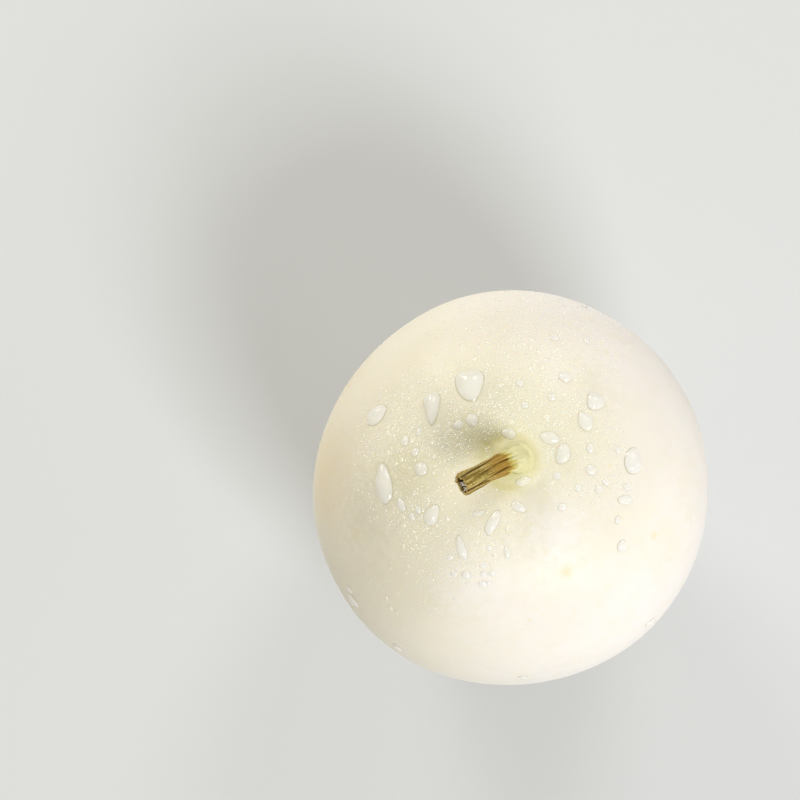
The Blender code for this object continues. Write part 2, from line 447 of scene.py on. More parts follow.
def fine_profile(fruit):
    """(radius, height) points from the socket's floor to the middle of the scar."""
    sizes = fruit.sizes
    lip, floor = sizes.lip_radius, fruit.socket_floor
    points = [(0, floor), (lip / 2, floor), (lip * WALL_FOOT, floor)]
    for part in spaced(0, 1, SOCKET_RINGS):
        opened = (1 - WALL_FOOT) * math.sin(part * math.pi / 2) ** 2
        rise = sizes.socket_depth * part - MOUTH_ROUNDING * part**6
        points.append((lip * (WALL_FOOT + opened), floor + rise))
    for part in spaced(0, 1, COLLAR_RINGS):
        radius = lip + (2 * sizes.hollow_reach - lip) * part**COLLAR_CROWDING
        lowered = MOUTH_ROUNDING * math.exp(-(radius - lip) / MOUTH_SOFTNESS)
        points.append((radius, fruit.stem_side(radius) - lowered))
    points += fruit.girth_points()
    groove = sizes.scar_radius + sizes.groove_width
    bands = (
        (UNDER_EDGE, groove, UNDER_RINGS),
        (groove, sizes.scar_radius, GROOVE_RINGS),
        (sizes.scar_radius, 0, SCAR_RINGS),
    )
    for outer, inner, rings in bands:
        points += [(radius, fruit.blossom_side(radius)) for radius in spaced(outer, inner, rings)]
    return points


class Swell(NamedTuple):
    """A broad rise or dip in the upper half of the skin."""

    towards_deg: float
    out: float
    wide: float
    height: float


SWELLS = (
    Swell(240, 40 * MM, 15 * MM, 1.4 * MM),
    Swell(205, 23 * MM, 15 * MM, 1.7 * MM),
    Swell(312, 18 * MM, 10 * MM, -0.9 * MM),
    Swell(140, 34 * MM, 15 * MM, -0.9 * MM),
    Swell(150, 11 * MM, 7 * MM, -0.7 * MM),
)
SWELLS_ABOVE = (5 * MM, 28 * MM)  # the widest ring: none at the first height, full at the second
SWELLS_OUTSIDE = (5 * MM, 9 * MM)  # the growth axis: none at the first radius, full at the second
UNEVEN_OUTSIDE = (4 * MM, 12 * MM)  # the same for the fainter unevenness
BROAD_GRAIN, BROAD_SHARE = 26 * MM, 0.8  # what the unevenness is made of
SMALL_GRAIN, SMALL_SHARE = 7 * MM, 0.12
SMALL_SHIFT = Vector((3, 1, 2))  # keeps the small noise apart from the broad one


def uneven(fruit, point, out):
    """How far the skin stands off its plain form, which it only leaves inwards at the girth."""
    broad = noise.noise(point / BROAD_GRAIN) - 1
    small = noise.noise(point / SMALL_GRAIN + SMALL_SHIFT)
    height = fruit.sizes.unevenness * blend(out, *UNEVEN_OUTSIDE)
    height *= BROAD_SHARE * broad + SMALL_SHARE * small
    upper = blend(point.z - fruit.widest, *SWELLS_ABOVE) * blend(out, *SWELLS_OUTSIDE)
    for swell in SWELLS if upper else ():
        middle = ring_point(math.radians(swell.towards_deg), swell.out)
        across = (point.xy - middle.xy).length
        height += upper * swell.height * math.exp(-((across / swell.wide) ** 2))
    return height


def fruit_mesh(fruit):
    """The skin: a grid wrapped round its profile and then shaped point by point."""
    sizes = fruit.sizes
    shape = bmesh.new()
    points = fine_profile(fruit)
    rows = len(points) - 1
    bmesh.ops.create_grid(shape, x_segments=rows, y_segments=GIRTH_STEPS, size=0.5)
    for vertex in shape.verts:
        radius, height = points[round((vertex.co.x + 0.5) * rows)]
        vertex.co = ring_point(math.tau * (vertex.co.y + 0.5), radius, height)
    bmesh.ops.remove_doubles(shape, verts=shape.verts, dist=MM / 1000)
    middle = Vector((0, 0, fruit.widest))
    groove_middle = sizes.scar_radius + sizes.groove_width / 2
    for vertex in shape.verts:
        out = math.hypot(vertex.co.x, vertex.co.y)
        below = vertex.co.z < fruit.widest
        point = fruit.lobed(vertex.co)
        point += (point - middle).normalized() * uneven(fruit, point, out)
        point = fruit.standing @ point
        point.z = fruit.pressed(point.z)
        across = (out - groove_middle) / sizes.groove_width
        if below and abs(across) < 0.5:
            point.z += sizes.groove_depth * math.cos(math.pi * across) ** 2
        vertex.co = point
    return smooth_mesh(shape, "melon_skin")


# The skin's finish


class Fade(NamedTuple):
    """Where a tone ends and where it is full, and how far its edge wanders with a noise."""

    wander: float
    ends: float
    full: float

    def mask(self, distance, waver):
        return (distance + waver * self.wander).rise(self.ends, self.full)


SHADED_SIDE = (-55 * MM, 0, 90 * MM)  # the middle of the cream on the side away from the lamps: partly the skin's own tone, partly painted shade
SHADED_FADE = Fade(20 * MM, 115 * MM, 50 * MM)
UNRIPE_FADE = Fade(30 * MM, 70 * MM, 20 * MM)  # from the stem's root
LOWER_FADE = Fade(20 * MM, 96 * MM, 60 * MM)  # this and the next two from the resting spot
UNDER_FADE = Fade(10 * MM, 50 * MM, 12 * MM)
SCAR_FADE = Fade(0.8 * MM, 5.6 * MM, 4.6 * MM)
COLLAR_MIDDLE = (509, 461)  # pixels of the picture, and the next lines are measured from here
HALO_FADE = Fade(4 * MM, 14.2 * MM, 5.5 * MM)
RING_WANDER = 1.6 * MM
RING_INSIDE, RING_OUTSIDE = (6.6 * MM, 8.0 * MM), (8.2 * MM, 9.8 * MM)  # the rim of the collar, whose olive ring is partly its own tint, partly painted shade in the crease round it
SPECK_SPACING = 11 * MM
SMUDGE_FADE = Fade(1.6, 2.0, 0.6)  # as shares of a smudge's radius


class Smudge(NamedTuple):
    """A faint mark on the skin, or a patch of painted light or shade: its middle in pixels of the
    picture, its size and its tone.
    """

    picture_x: float
    picture_y: float
    radius_mm: float
    strength: float
    tone: str = "blush_colour"

    def mask(self, graph, wetting, waver):
        fade = Fade(*(part * self.radius_mm * MM for part in SMUDGE_FADE))
        spot = wetting.seen_at(self.picture_x, self.picture_y)[0]
        return fade.mask(graph.distance(spot), waver) * self.strength


SMUDGES = (
    Smudge(668, 542, 16.0, 0.54, "cream_colour"),
    Smudge(690, 476, 14.0, 0.46, "cream_colour"),
    # Painted shade, in this line and the next four.
    Smudge(372, 528, 16.0, 0.36, "painted_shade_colour"),
    Smudge(364, 486, 10.0, 0.14, "painted_shade_colour"),
    Smudge(410, 392, 10.0, 0.14, "painted_shade_colour"),
    Smudge(412, 488, 13.0, 0.34, "painted_shade_colour"),
    Smudge(360, 570, 14.0, 0.16, "painted_shade_colour"),
    # Partly the green tinge near the stem, partly painted shade in its lee.
    Smudge(460, 441, 9.0, 0.46, "green_colour"),
    # Painted light where the key lamp falls, partly paler skin, in this line and the next three.
    Smudge(562, 518, 16.0, 0.32, "pale_painted_light_colour"),
    Smudge(461, 592, 10.0, 0.28, "pale_painted_light_colour"),
    Smudge(494, 588, 22.0, 0.50, "pale_painted_light_colour"),
    Smudge(562, 537, 11.0, 0.58, "pale_painted_light_colour"),
    # Olive smudges, in this line and the next four: partly an olive stain, partly painted shade of
    # the stem's shadow and of the flank away from the lamps.
    Smudge(403, 468, 13.0, 0.26, "olive_colour"),
    Smudge(594, 386, 9.0, 0.12, "olive_colour"),
    Smudge(474, 436, 9.0, 0.35, "olive_colour"),
    Smudge(486, 443, 2.6, 0.50, "olive_colour"),
    Smudge(499, 439, 2.2, 0.45, "olive_colour"),
    # Painted shade.
    Smudge(366, 508, 12.0, 0.35, "painted_shade_colour"),
    # A warm blush, partly a painted warm reflection from the left, in this line and the next.
    Smudge(322, 470, 22.0, 0.40),
    Smudge(352, 380, 13.0, 0.22),
    Smudge(566, 572, 2.6, 0.55),
    Smudge(530, 620, 0.6, 0.60),
    Smudge(392, 625, 0.7, 0.50),
    Smudge(606, 352, 1.2, 0.25),
    Smudge(438, 340, 0.6, 0.35),
    Smudge(610, 466, 0.8, 0.30),
    Smudge(655, 535, 1.7, 0.40),
    # Painted highlights of wet patches, in this line and the next.
    Smudge(536, 531, 1.7, 0.45, "pale_painted_light_colour"),
    Smudge(556, 551, 1.8, 0.45, "pale_painted_light_colour"),
    # Painted shade, in this line and the next two.
    Smudge(440, 412, 11.0, 0.42, "painted_shade_colour"),
    Smudge(492, 397, 9.0, 0.40, "painted_shade_colour"),
    Smudge(592, 392, 12.0, 0.12, "painted_shade_colour"),
    Smudge(550, 397, 0.9, 0.20),
    Smudge(357, 535, 3.5, 0.14),
    Smudge(670, 560, 0.8, 0.30),
    Smudge(600, 607, 1.4, 0.16),
    Smudge(562, 317, 0.9, 0.20),
)


def skin_material(fruit, wetting):
    sizes = fruit.sizes
    graph = Graph("melon_skin")
    from_root = graph.distance(fruit.standing @ Vector((0, 0, fruit.mouth)))
    from_foot = graph.distance(fruit.standing @ Vector((0, 0, 0)))
    from_collar = graph.distance(wetting.seen_at(*COLLAR_MIDDLE)[0])
    broad = graph.noise(24 * MM, 3, 0.55)
    patches = graph.noise(7 * MM, 4, 0.6)
    mottles = graph.noise(2.2 * MM, 4, 0.65)
    grain = graph.noise(1.1 * MM, 3, 0.6)
    sockets = {"Vector": graph.place(), "Scale": 1 / SPECK_SPACING}
    specks = graph.node("ShaderNodeTexVoronoi", None, sockets).rise(0.045, 0.015)
    lower = LOWER_FADE.mask(from_foot, broad)
    halo = HALO_FADE.mask(from_collar, patches)
    # The ring round the collar: partly the rim's own olive, partly painted shade in the crease
    # round the collar.
    from_ring = from_collar + mottles * RING_WANDER
    ring = from_ring.rise(*RING_INSIDE) * (1 - from_ring.rise(*RING_OUTSIDE))
    skin = graph.layered(
        sizes.skin_colour,
        # Partly the skin's own deeper cream, partly painted shade on the side away from the lamps.
        (SHADED_FADE.mask(graph.distance(SHADED_SIDE), broad), sizes.cream_colour),
        (UNRIPE_FADE.mask(from_root, broad) * 0.6, sizes.green_colour),
        (patches.rise(0.42, 0.72) * 0.2, sizes.green_colour),
        (lower * (patches.rise(0.35, 0.70) * 0.60 + 0.20), sizes.cream_colour),
        (lower * mottles.rise(0.46, 0.70) * 0.26, sizes.green_colour),
        (UNDER_FADE.mask(from_foot, broad) * 0.4, sizes.green_colour),
        (halo, sizes.halo_colour),
        (halo * mottles.rise(0.52, 0.68) * 0.45, sizes.moss_colour),
        (ring * 0.30, sizes.moss_colour),
        (specks * broad.rise(0.45, 0.6) * 0.45, sizes.scar_colour),
        *((mark.mask(graph, wetting, mottles), getattr(sizes, mark.tone)) for mark in SMUDGES),
        (SCAR_FADE.mask(from_foot, grain) * 0.85, sizes.scar_colour),
    )
    shader = graph.node(
        "ShaderNodeBsdfPrincipled",
        {"subsurface_method": "RANDOM_WALK"},
        {
            "Base Color": skin,
            "Roughness": 0.40 + patches * 0.12,
            "IOR": 1.42,
            "Subsurface Weight": 0.25,
            "Subsurface Radius": (1.0, 0.75, 0.4),
            "Subsurface Scale": 2.5 * MM,
            "Normal": graph.bump(grain * 0.6 + patches * 0.4, 0.4, 0.2 * MM),
        },
    )
    return graph.finish(shader)


# The stem

STEM_SIDES = 144
STEM_STATIONS = 110
STATION_CROWDING = 1.35  # draws the stations together near the root
TIP_RINGS = 9
RIBS = 8
RIB_TWIST = 0.5  # radians from the root to the tip
LEAST_FURROW, MEAN_FURROW = 0.3, 0.8
FURROW_SHARPNESS = 1.6
FLARE_START = 0.12 * MM  # under the mouth
FLARES = ((0.20, 0.9 * MM), (0.36, 0.12 * MM))  # shares of the radius, and where they run out
TIP_SWELL = 0.05
WAIST_DEPTH, WAIST_AT, WAIST_WIDTH = 0.07, 0.75, 0.12
DRY = (0.22, 0.46)  # shares of the length between which the fresh root turns into dry bark
FRESH_CARVING, DRY_CARVING = 0.02, 0.19  # how deep the furrows cut into the radius
TIP_EDGE, TIP_CORE = 0.2, 0.55  # shares of the radius that the rings at the tip draw in
CORED, SUNK = (0.25, 1), (0.2, 0.85)  # shares of those rings that draw in and that sink
RAGGED = (0.85, 1)  # shares of the length between which the cut end turns ragged
SHRED_TURNS, SHRED_PLACES = (0.2, 2.6), (0.2, 0.85)  # radians round the tip, shares of its radius
SHRED_LENGTHS, SHRED_RADII = (0.9 * MM, 1.9 * MM), (0.12 * MM, 0.24 * MM)
SHRED_POINT = 0.04 * MM
SHRED_SPLAY = 0.35
STEM_ATTRIBUTES = ("along", "furrow", "streak", "strand", "torn")


class Ripple(NamedTuple):
    """Noise round the stem that runs in streaks along it."""

    height: float
    fine: float
    along: float
    seed: float = 0

    def at(self, turn, part):
        place = ring_point(turn, self.fine, part * self.along + self.seed)
        return self.height * noise.noise(place)


RIB_WANDER = Ripple(0.30, 1.3, 2.0)
RIB_DEPTH = Ripple(0.7, 2.5, 3.0, 5)
FINE_STRANDS = Ripple(0.07, 8, 2.5)
SHORT_STRANDS = Ripple(0.07, 3, 9, 4)
RAGGED_EDGE = Ripple(0.6, 2.2, 1, 9)
SHREDS = Ripple(1, 5, 9, 2)
STREAK_TONE = Ripple(1.1, 5.5, 3.6, 7)
STRAND_TONE = Ripple(1.3, 20, 3.5, 1)


class Stem:
    """The stem's centre line and its ribbed cross-section."""

    def __init__(self, fruit, settings):
        self.fruit, self.sizes = fruit, settings
        self.out = ring_point(settings.towards)
        self.side = Vector((-self.out.y, self.out.x, 0))
        self.foot = Vector((0, 0, fruit.socket_floor + settings.gap))
        self.bend = self.foot + Vector((0, 0, settings.rise))
        self.tip = self.foot + self.out * settings.reach + Vector((0, 0, settings.tip_height))

    def centre(self, part):
        rest = 1 - part
        return self.foot * rest**2 + self.bend * (2 * part * rest) + self.tip * part**2

    def heading(self, part):
        return ((self.bend - self.foot) * (1 - part) + (self.tip - self.bend) * part).normalized()

    def furrow(self, part, turn):
        """0 on a rib and up to 1 at the bottom of the furrow beside it."""
        wander = RIB_WANDER.at(turn, part) + RIB_TWIST * part
        deep = min(max(MEAN_FURROW + RIB_DEPTH.at(turn, part), LEAST_FURROW), 1)
        return deep * (1 - abs(math.cos(RIBS / 2 * (turn + wander)))) ** FURROW_SHARPNESS

    def radius(self, part, turn):
        sizes = self.sizes
        above_foot = 2 * part * (1 - part) * sizes.rise + part**2 * sizes.tip_height
        below_mouth = self.fruit.sizes.socket_depth - sizes.gap - FLARE_START
        above_mouth = max(above_foot - below_mouth, 0)
        flare = sum(wide * math.exp(-above_mouth / high) for wide, high in FLARES)
        swell = 1 + flare + TIP_SWELL * part**6
        waist = 1 - WAIST_DEPTH * math.exp(-(((part - WAIST_AT) / WAIST_WIDTH) ** 2))
        dry = blend(part, *DRY)
        carved = (FRESH_CARVING + DRY_CARVING * dry) * self.furrow(part, turn)
        strands = FINE_STRANDS.at(turn, part) + SHORT_STRANDS.at(turn, part)
        return sizes.radius * swell * waist * (1 - carved + dry * strands)

    def point(self, part, turn, scale=1.0, along=0.0):
        heading = self.heading(part)
        up = heading.cross(self.side).normalized()
        across = self.side * math.cos(turn) + up * math.sin(turn)
        return self.centre(part) + across * self.radius(part, turn) * scale + heading * along


def add_shreds(shape, stem, torn):
    """Stands thin torn fibres in the cut end, and marks their vertices."""
    draw = random.Random(stem.sizes.shred_seed)
    for _ in range(stem.sizes.shred_count):
        turn, scale = draw.uniform(*SHRED_TURNS), draw.uniform(*SHRED_PLACES)
        size = draw.uniform(*SHRED_LENGTHS)
        place = stem.fruit.standing @ stem.point(1, turn, scale, -0.2 * size)
        splay = [draw.uniform(-SHRED_SPLAY, SHRED_SPLAY) for _ in range(3)]
        lean = (stem.heading(1) + Vector(splay)).to_track_quat("Z", "Y")
        shred = bmesh.ops.create_cone(
            shape,
            cap_ends=True,
            segments=6,
            radius1=draw.uniform(*SHRED_RADII),
            radius2=SHRED_POINT,
            depth=size,
            matrix=Matrix.Translation(place) @ lean.to_matrix().to_4x4(),
        )
        for vertex in shred["verts"]:
            vertex[torn] = 2


def stem_mesh(stem):
    """Rings extruded one from the next along the centre line, with a sunk, torn tip."""
    shape = bmesh.new()
    layers = {name: shape.verts.layers.float.new(name) for name in STEM_ATTRIBUTES}
    ring = bmesh.ops.create_circle(shape, segments=STEM_SIDES, radius=1, cap_ends=True)["verts"]
    turns = [math.atan2(vertex.co.y, vertex.co.x) for vertex in ring]

    def settle(part, scale=1.0, sunk=0.0, torn=0.0):
        """Puts the ring in its place, and writes what the material reads."""
        for vertex, turn in zip(ring, turns):
            ragged = blend(part, *RAGGED) * (RAGGED_EDGE.at(turn, 0) - 0.3)
            upper = blend(math.sin(turn), -0.3, 0.5)
            shreds = torn * ((0.6 + upper) * SHREDS.at(turn, scale) + 0.8 * upper)
            point = stem.point(part, turn, scale, (ragged + shreds) * MM - sunk)
            vertex.co = stem.fruit.standing @ point
            # Painted light and shade: the side that faces the key lamp leans to the dry colour,
            # the far side to the olive.
            painted_lit_side = 0.25 * math.cos(turn) * blend(part, 0.3, 0.7)
            crown = max(math.sin(turn), 0) ** 2
            values = (
                part,
                stem.furrow(part, turn),
                0.5 + STREAK_TONE.at(turn, part) - painted_lit_side,
                0.5 + STRAND_TONE.at(turn, part) + 0.10 * crown,
                torn,
            )
            for name, value in zip(STEM_ATTRIBUTES, values):
                vertex[layers[name]] = value

    def extrude():
        """Grows a new ring from the edges of the last one, in the same order."""
        edges = [shape.edges.get(pair) for pair in zip(ring, ring[1:] + ring[:1])]
        grown = bmesh.ops.extrude_edge_only(shape, edges=edges)["geom"]
        fresh = {item for item in grown if isinstance(item, bmesh.types.BMVert)}
        return [
            next(far for edge in vertex.link_edges if (far := edge.other_vert(vertex)) in fresh)
            for vertex in ring
        ]

    settle(0)
    for part in spaced(0, 1, STEM_STATIONS):
        ring = extrude()
        settle(part**STATION_CROWDING)
    for step in spaced(0, 1, TIP_RINGS):
        ring = extrude()
        scale = 1 - TIP_EDGE * min(step * 4, 1) - TIP_CORE * blend(step, *CORED)
        settle(1, scale, stem.sizes.pith_depth * blend(step, *SUNK), step)
    shape.faces.new(ring)
    add_shreds(shape, stem, layers["torn"])
    return smooth_mesh(shape, "dry_stem")


def stem_material(stem):
    sizes = stem.sizes
    graph = Graph("dry_stem")
    along, furrow, streak, strand, torn = (graph.attribute(name) for name in STEM_ATTRIBUTES)
    grain = graph.noise(0.45 * MM, 4, 0.65)
    flakes = graph.noise(0.8 * MM, 5, 0.7)
    border = along + streak * 0.06 + strand * 0.05 + flakes * 0.12
    bark = graph.layered(
        sizes.bark_colour,
        # The streak attribute also carries painted light and shade: lower on the side that faces
        # the key lamp, higher on the far side.
        (streak.rise(0.50, 0.75), sizes.olive_colour),
        (streak.rise(0.36, 0.12) * 0.85, sizes.dry_colour),
        (strand.rise(0.46, 0.30) * 0.75, sizes.light_colour),
        (strand.rise(0.57, 0.70) * 0.9, sizes.old_colour),
        (grain.rise(0.60, 0.35) * 0.55, sizes.old_colour),
        (flakes.rise(0.57, 0.66) * 0.5, sizes.dry_colour),
        (flakes.rise(0.48, 0.40) * 0.75, sizes.old_colour),
        (along.rise(0.82, 0.66) * 0.75, sizes.rust_colour),
        # Painted shade in the furrows.
        ((furrow + grain * 0.3).rise(0.55, 1.0), sizes.painted_groove_shade_colour),
        (border.rise(0.66, 0.60), sizes.turning_colour),
        (border.rise(0.62, 0.50), sizes.root_colour),
    )
    cut = graph.layered(
        sizes.dry_colour,
        # Painted shade in the sunk hollow of the cut end.
        (torn.rise(0.15, 0.5), sizes.painted_groove_shade_colour),
        (torn.rise(1.2, 1.8), sizes.fibre_colour),
    )
    shader = graph.node(
        "ShaderNodeBsdfPrincipled",
        None,
        {
            "Base Color": graph.mix(torn.rise(0.02, 0.1), bark, cut),
            "Roughness": 0.60 + grain * 0.25,
            "Specular IOR Level": 0.14,
            "Normal": graph.bump(grain + flakes * 0.8, 0.8, 0.4 * MM),
        },
    )
    return graph.finish(shader)


# Water

RIM = "rim"  # the attribute that is 0 on a drop's crown and 1 at its edge
EQUATOR = -0.01  # just under the middle of a ball of radius 1
DROP_STEPS, DROP_RINGS = 36, 24
DROP_WOBBLE = 0.03  # share of the radius that each wave of a drop's outline takes
DROP_FOOT = 0.25 * MM  # how deep a drop is sunk into the skin
FLATTER_WIDE = (1.15, 0.03)  # share of the height, and what each millimetre of width takes off it
FLATTER_TAIL = 0.35  # what the narrow end of a drop loses of its height


class Drop(NamedTuple):
    """A drop in the picture: its middle in pixels, and its real size and lie."""

    picture_x: float
    picture_y: float
    length_mm: float
    width_mm: float
    heading_deg: float
    taper: float = 0.0


DROPS = (
    Drop(470, 386, 9.8, 9.8, -78, 0.30),
    Drop(432, 410, 10.0, 7.2, -85, 0.60),
    Drop(377, 415, 7.2, 6.6, 28, 0.20),
    Drop(384, 484, 12.0, 6.0, 97, 0.10),
    Drop(595, 402, 5.8, 5.6, -130, 0.15),
    Drop(585, 421, 6.0, 4.8, 115, 0.20),
    Drop(550, 438, 6.0, 3.5, -15),
    Drop(563, 454, 6.0, 4.3, 75),
    Drop(633, 461, 7.6, 6.4, 95, 0.15),
    Drop(461, 547, 7.0, 3.4, 100, 0.30),
    Drop(493, 522, 8.0, 3.4, 62, 0.20),
    Drop(432, 515, 6.2, 4.6, 60, 0.20),
    Drop(401, 505, 4.2, 2.7, 115),
    Drop(421, 469, 4.2, 4.0, 90),
    Drop(479, 513, 3.4, 2.2, 20, 0.50),
    Drop(472, 420, 3.9, 3.5, 90),
    Drop(458, 425, 3.0, 2.8, 0),
    Drop(509, 434, 4.2, 3.3, -20),
    Drop(565, 377, 3.8, 3.4, 0),
    Drop(555, 338, 2.8, 2.4, 30),
    Drop(587, 341, 2.6, 2.0, 80),
    Drop(552, 397, 2.6, 2.4, 0),
    Drop(525, 405, 2.2, 2.1, 0),
    Drop(520, 383, 2.4, 2.2, 0),
    Drop(405, 441, 3.4, 2.4, 60),
    Drop(415, 452, 2.8, 2.2, 45),
    Drop(419, 432, 2.6, 1.9, 50),
    Drop(591, 470, 3.2, 3.1, 0),
    Drop(590, 448, 3.0, 2.3, 90),
    Drop(599, 489, 2.6, 2.5, 0),
    Drop(578, 488, 2.3, 2.1, 0),
    Drop(557, 476, 2.4, 2.3, 0),
    Drop(606, 482, 2.2, 2.1, 0),
    Drop(627, 487, 2.3, 2.2, 0),
    Drop(625, 500, 4.8, 2.8, 5),
    Drop(622, 546, 3.6, 3.2, 90),
    Drop(618, 520, 2.4, 2.1, 90),
    Drop(618, 450, 2.3, 2.0, 90),
    Drop(450, 557, 2.0, 1.9, 0),
    Drop(454, 574, 2.1, 2.0, 0),
    Drop(466, 575, 2.7, 2.5, 0),
    Drop(468, 584, 1.5, 1.4, 0),
    Drop(483, 565.5, 2.1, 1.9, 0),
    Drop(483.5, 574, 2.1, 1.9, 0),
    Drop(492, 573.5, 2.0, 1.9, 0),
    Drop(482.5, 584, 2.3, 2.2, 0),
    Drop(489, 583, 1.4, 1.3, 0),
    Drop(489, 548, 1.6, 1.5, 0),
    Drop(418, 510, 2.5, 2.0, 110),
    Drop(412, 517, 2.4, 2.0, 110),
    Drop(562, 507, 2.7, 2.3, 0),
    Drop(524, 481, 4.6, 3.2, 18, 0.30),
    Drop(519, 507, 4.8, 3.2, -30, 0.20),
    Drop(507, 553, 3.6, 1.8, 100),
    Drop(354, 600, 5.2, 3.4, 120),
    Drop(350, 590, 2.8, 2.4, 120),
    Drop(398, 647, 3.6, 2.8, 140),
    Drop(523, 677, 3.0, 2.4, 0),
    Drop(650, 622, 4.0, 2.8, 50),
    Drop(583, 306, 3.0, 2.2, -20),
)


class Patch(NamedTuple):
    """A patch of fine drops in the picture: its middle and spread in pixels, and its share."""

    picture_x: float
    picture_y: float
    spread: float
    weight: float


PATCHES = (
    Patch(392, 436, 20, 0.95),
    Patch(420, 410, 22, 1.50),
    Patch(440, 440, 16, 0.90),
    Patch(472, 412, 26, 1.60),
    Patch(520, 392, 32, 1.50),
    Patch(560, 424, 28, 0.90),
    Patch(388, 490, 20, 0.45),
    Patch(416, 520, 14, 0.90),
    Patch(444, 548, 22, 0.60),
    Patch(500, 350, 38, 1.00),
    Patch(584, 466, 26, 0.50),
    Patch(480, 520, 26, 0.50),
    Patch(442, 466, 20, 0.50),
    Patch(405, 588, 26, 0.15),
    Patch(570, 345, 30, 0.50),
)
PATCH_EDGE = 2.2  # the furthest that a fine drop stands from its patch's middle, in spreads
SIDE_SHARE = 0.03  # of the fine drops, which stands on the sides
SIDE_TOWARDS = (165, 70)  # degrees: the middle and the spread of where those stand
SIDE_SLOPE = (-0.5, 0.3)  # how steeply down or up they are looked for, from the core
CORE = Vector((0, 0, 70 * MM))  # a point deep in the fruit
STEEPEST = 56 * MM  # from the upright axis, past which the skin is too steep to hold water
STEM_CLEARANCE = (15, 14, 90)  # the dry oval at the stem's foot, in millimetres and degrees


class Sprinkle(NamedTuple):
    """A size of fine drops: the least and the greatest radius, and the steps of their domes."""

    name: str
    least: float
    greatest: float
    around: int
    rings: int


BEADS = Sprinkle("beads", 0.34 * MM, 0.78 * MM, 14, 4)
MIST = Sprinkle("mist", 0.12 * MM, 0.35 * MM, 7, 2)
BEAD_FOOT = 0.15  # how deep a fine drop is sunk, as a share of its height
BEAD_HEADING = (50, 22)  # degrees: the middle and the spread of the way that they have run
BEAD_STRETCH = (1.0, 1.55)
BEAD_RISE = (1.1, 1.5)  # how much steeper they stand than the larger drops


class Wetting:
    """Finds places for water on the finished skin."""

    def __init__(self, skin, stage):
        self.tree = BVHTree.FromObject(skin, bpy.context.evaluated_depsgraph_get())
        self.eye = camera_place(stage)
        self.focal = stage.lens / SENSOR_SIDE * PICTURE_SIDE

    def seen_at(self, picture_x, picture_y):
        """The point of the skin that the camera sees at a pixel, and the skin's normal there."""
        half = PICTURE_SIDE / 2
        ray = Vector(((picture_x - half) / self.focal, (half - picture_y) / self.focal, -1))
        return self.tree.ray_cast(self.eye.translation, self.eye.to_3x3() @ ray)[:2]

    def towards(self, direction):
        """The point of the skin that lies in a direction from the core, and its normal."""
        return self.tree.ray_cast(CORE, direction)[:2]

    def under(self, point, normal):
        """The skin under a point beside a drop's middle."""
        place = self.tree.ray_cast(point + normal * 4 * MM, -normal, 12 * MM)[0]
        return place or self.tree.find_nearest(point)[0]


def camera_place(stage):
    tilt = math.pi / 2 - stage.elevation
    back = Vector((0, -math.sin(tilt), math.cos(tilt)))
    eye = Vector((stage.aim_x, stage.aim_y, 0)) + back * stage.distance
    return Matrix.Translation(eye) @ Matrix.Rotation(tilt, 4, "X")


def lie(normal, heading_deg):
    """Axes along a drop, across it and out of the skin. The heading is seen from above."""
    heading = ring_point(math.radians(heading_deg))
    along = (heading - normal * heading.dot(normal)).normalized()
    return along, normal.cross(along), normal


def dome_height(out, contact):
    """A drop's height at a share of its radius, as a share of its middle's."""
    level = math.cos(contact)
    return (math.sqrt(1 - (min(out, 1) * math.sin(contact)) ** 2) - level) / (1 - level)


def ball_template():
    """A ball of radius 1, with its rim written on it."""
    shape = bmesh.new()
    rim = shape.verts.layers.float.new(RIM)
    bmesh.ops.create_uvsphere(shape, u_segments=DROP_STEPS, v_segments=DROP_RINGS, radius=1)
    for vertex in shape.verts:
        vertex[rim] = math.hypot(vertex.co.x, vertex.co.y)
    return Template(shape)


def add_drop(shape, ball, water, wetting, drop, draw):
    """A closed drop: a ball whose upper half is domed and whose lower half is sunk."""
    place, normal = wetting.seen_at(drop.picture_x, drop.picture_y)
    along, across, up = lie(normal, drop.heading_deg)
    phases = [draw.uniform(0, math.tau) for _ in range(3)]
    most, less = FLATTER_WIDE
    height = water.dome * math.sqrt(drop.width_mm * drop.length_mm) * MM
    height *= min(1, most - less * drop.width_mm)

    def shaped(corner):
        x, y, z = corner
        turn = math.atan2(y, x)
        waves = [math.cos((i + 2) * turn + phase) for i, phase in enumerate(phases)]
        wobble = 1 + DROP_WOBBLE * sum(waves)
        narrow = 1 - drop.taper * 0.5 * (1 + x)
        x -= 0.5 * drop.taper * (1 - x * x)
        flat = along * x * drop.length_mm / 2 + across * y * narrow * drop.width_mm / 2
        base = wetting.under(place + flat * MM * wobble, up)
        if z >= EQUATOR:
            tail = 1 - FLATTER_TAIL * drop.taper * (1 + x) / 2
            lift = height * dome_height(math.hypot(*corner.xy), water.contact) * tail
        else:
            lift = DROP_FOOT * z
        return base + up * lift

    ball.stamp(shape, shaped)


def drops_mesh(water, wetting, draw):
    shape = bmesh.new()
    ball = ball_template()
    for drop in DROPS:
        add_drop(shape, ball, water, wetting, drop, draw)
    return smooth_mesh(shape, "large_drops")


class Zone:
    """An oval of the skin that fine drops keep clear of."""

    def __init__(self, place, normal, length_mm, width_mm, heading_deg):
        self.place = place
        self.along, self.across, _ = lie(normal, heading_deg)
        self.half_length, self.half_width = length_mm * MM / 2, width_mm * MM / 2

    def covers(self, point, margin):
        apart = point - self.place
        along = apart.dot(self.along) / (self.half_length + margin)
        return math.hypot(along, apart.dot(self.across) / (self.half_width + margin)) < 1


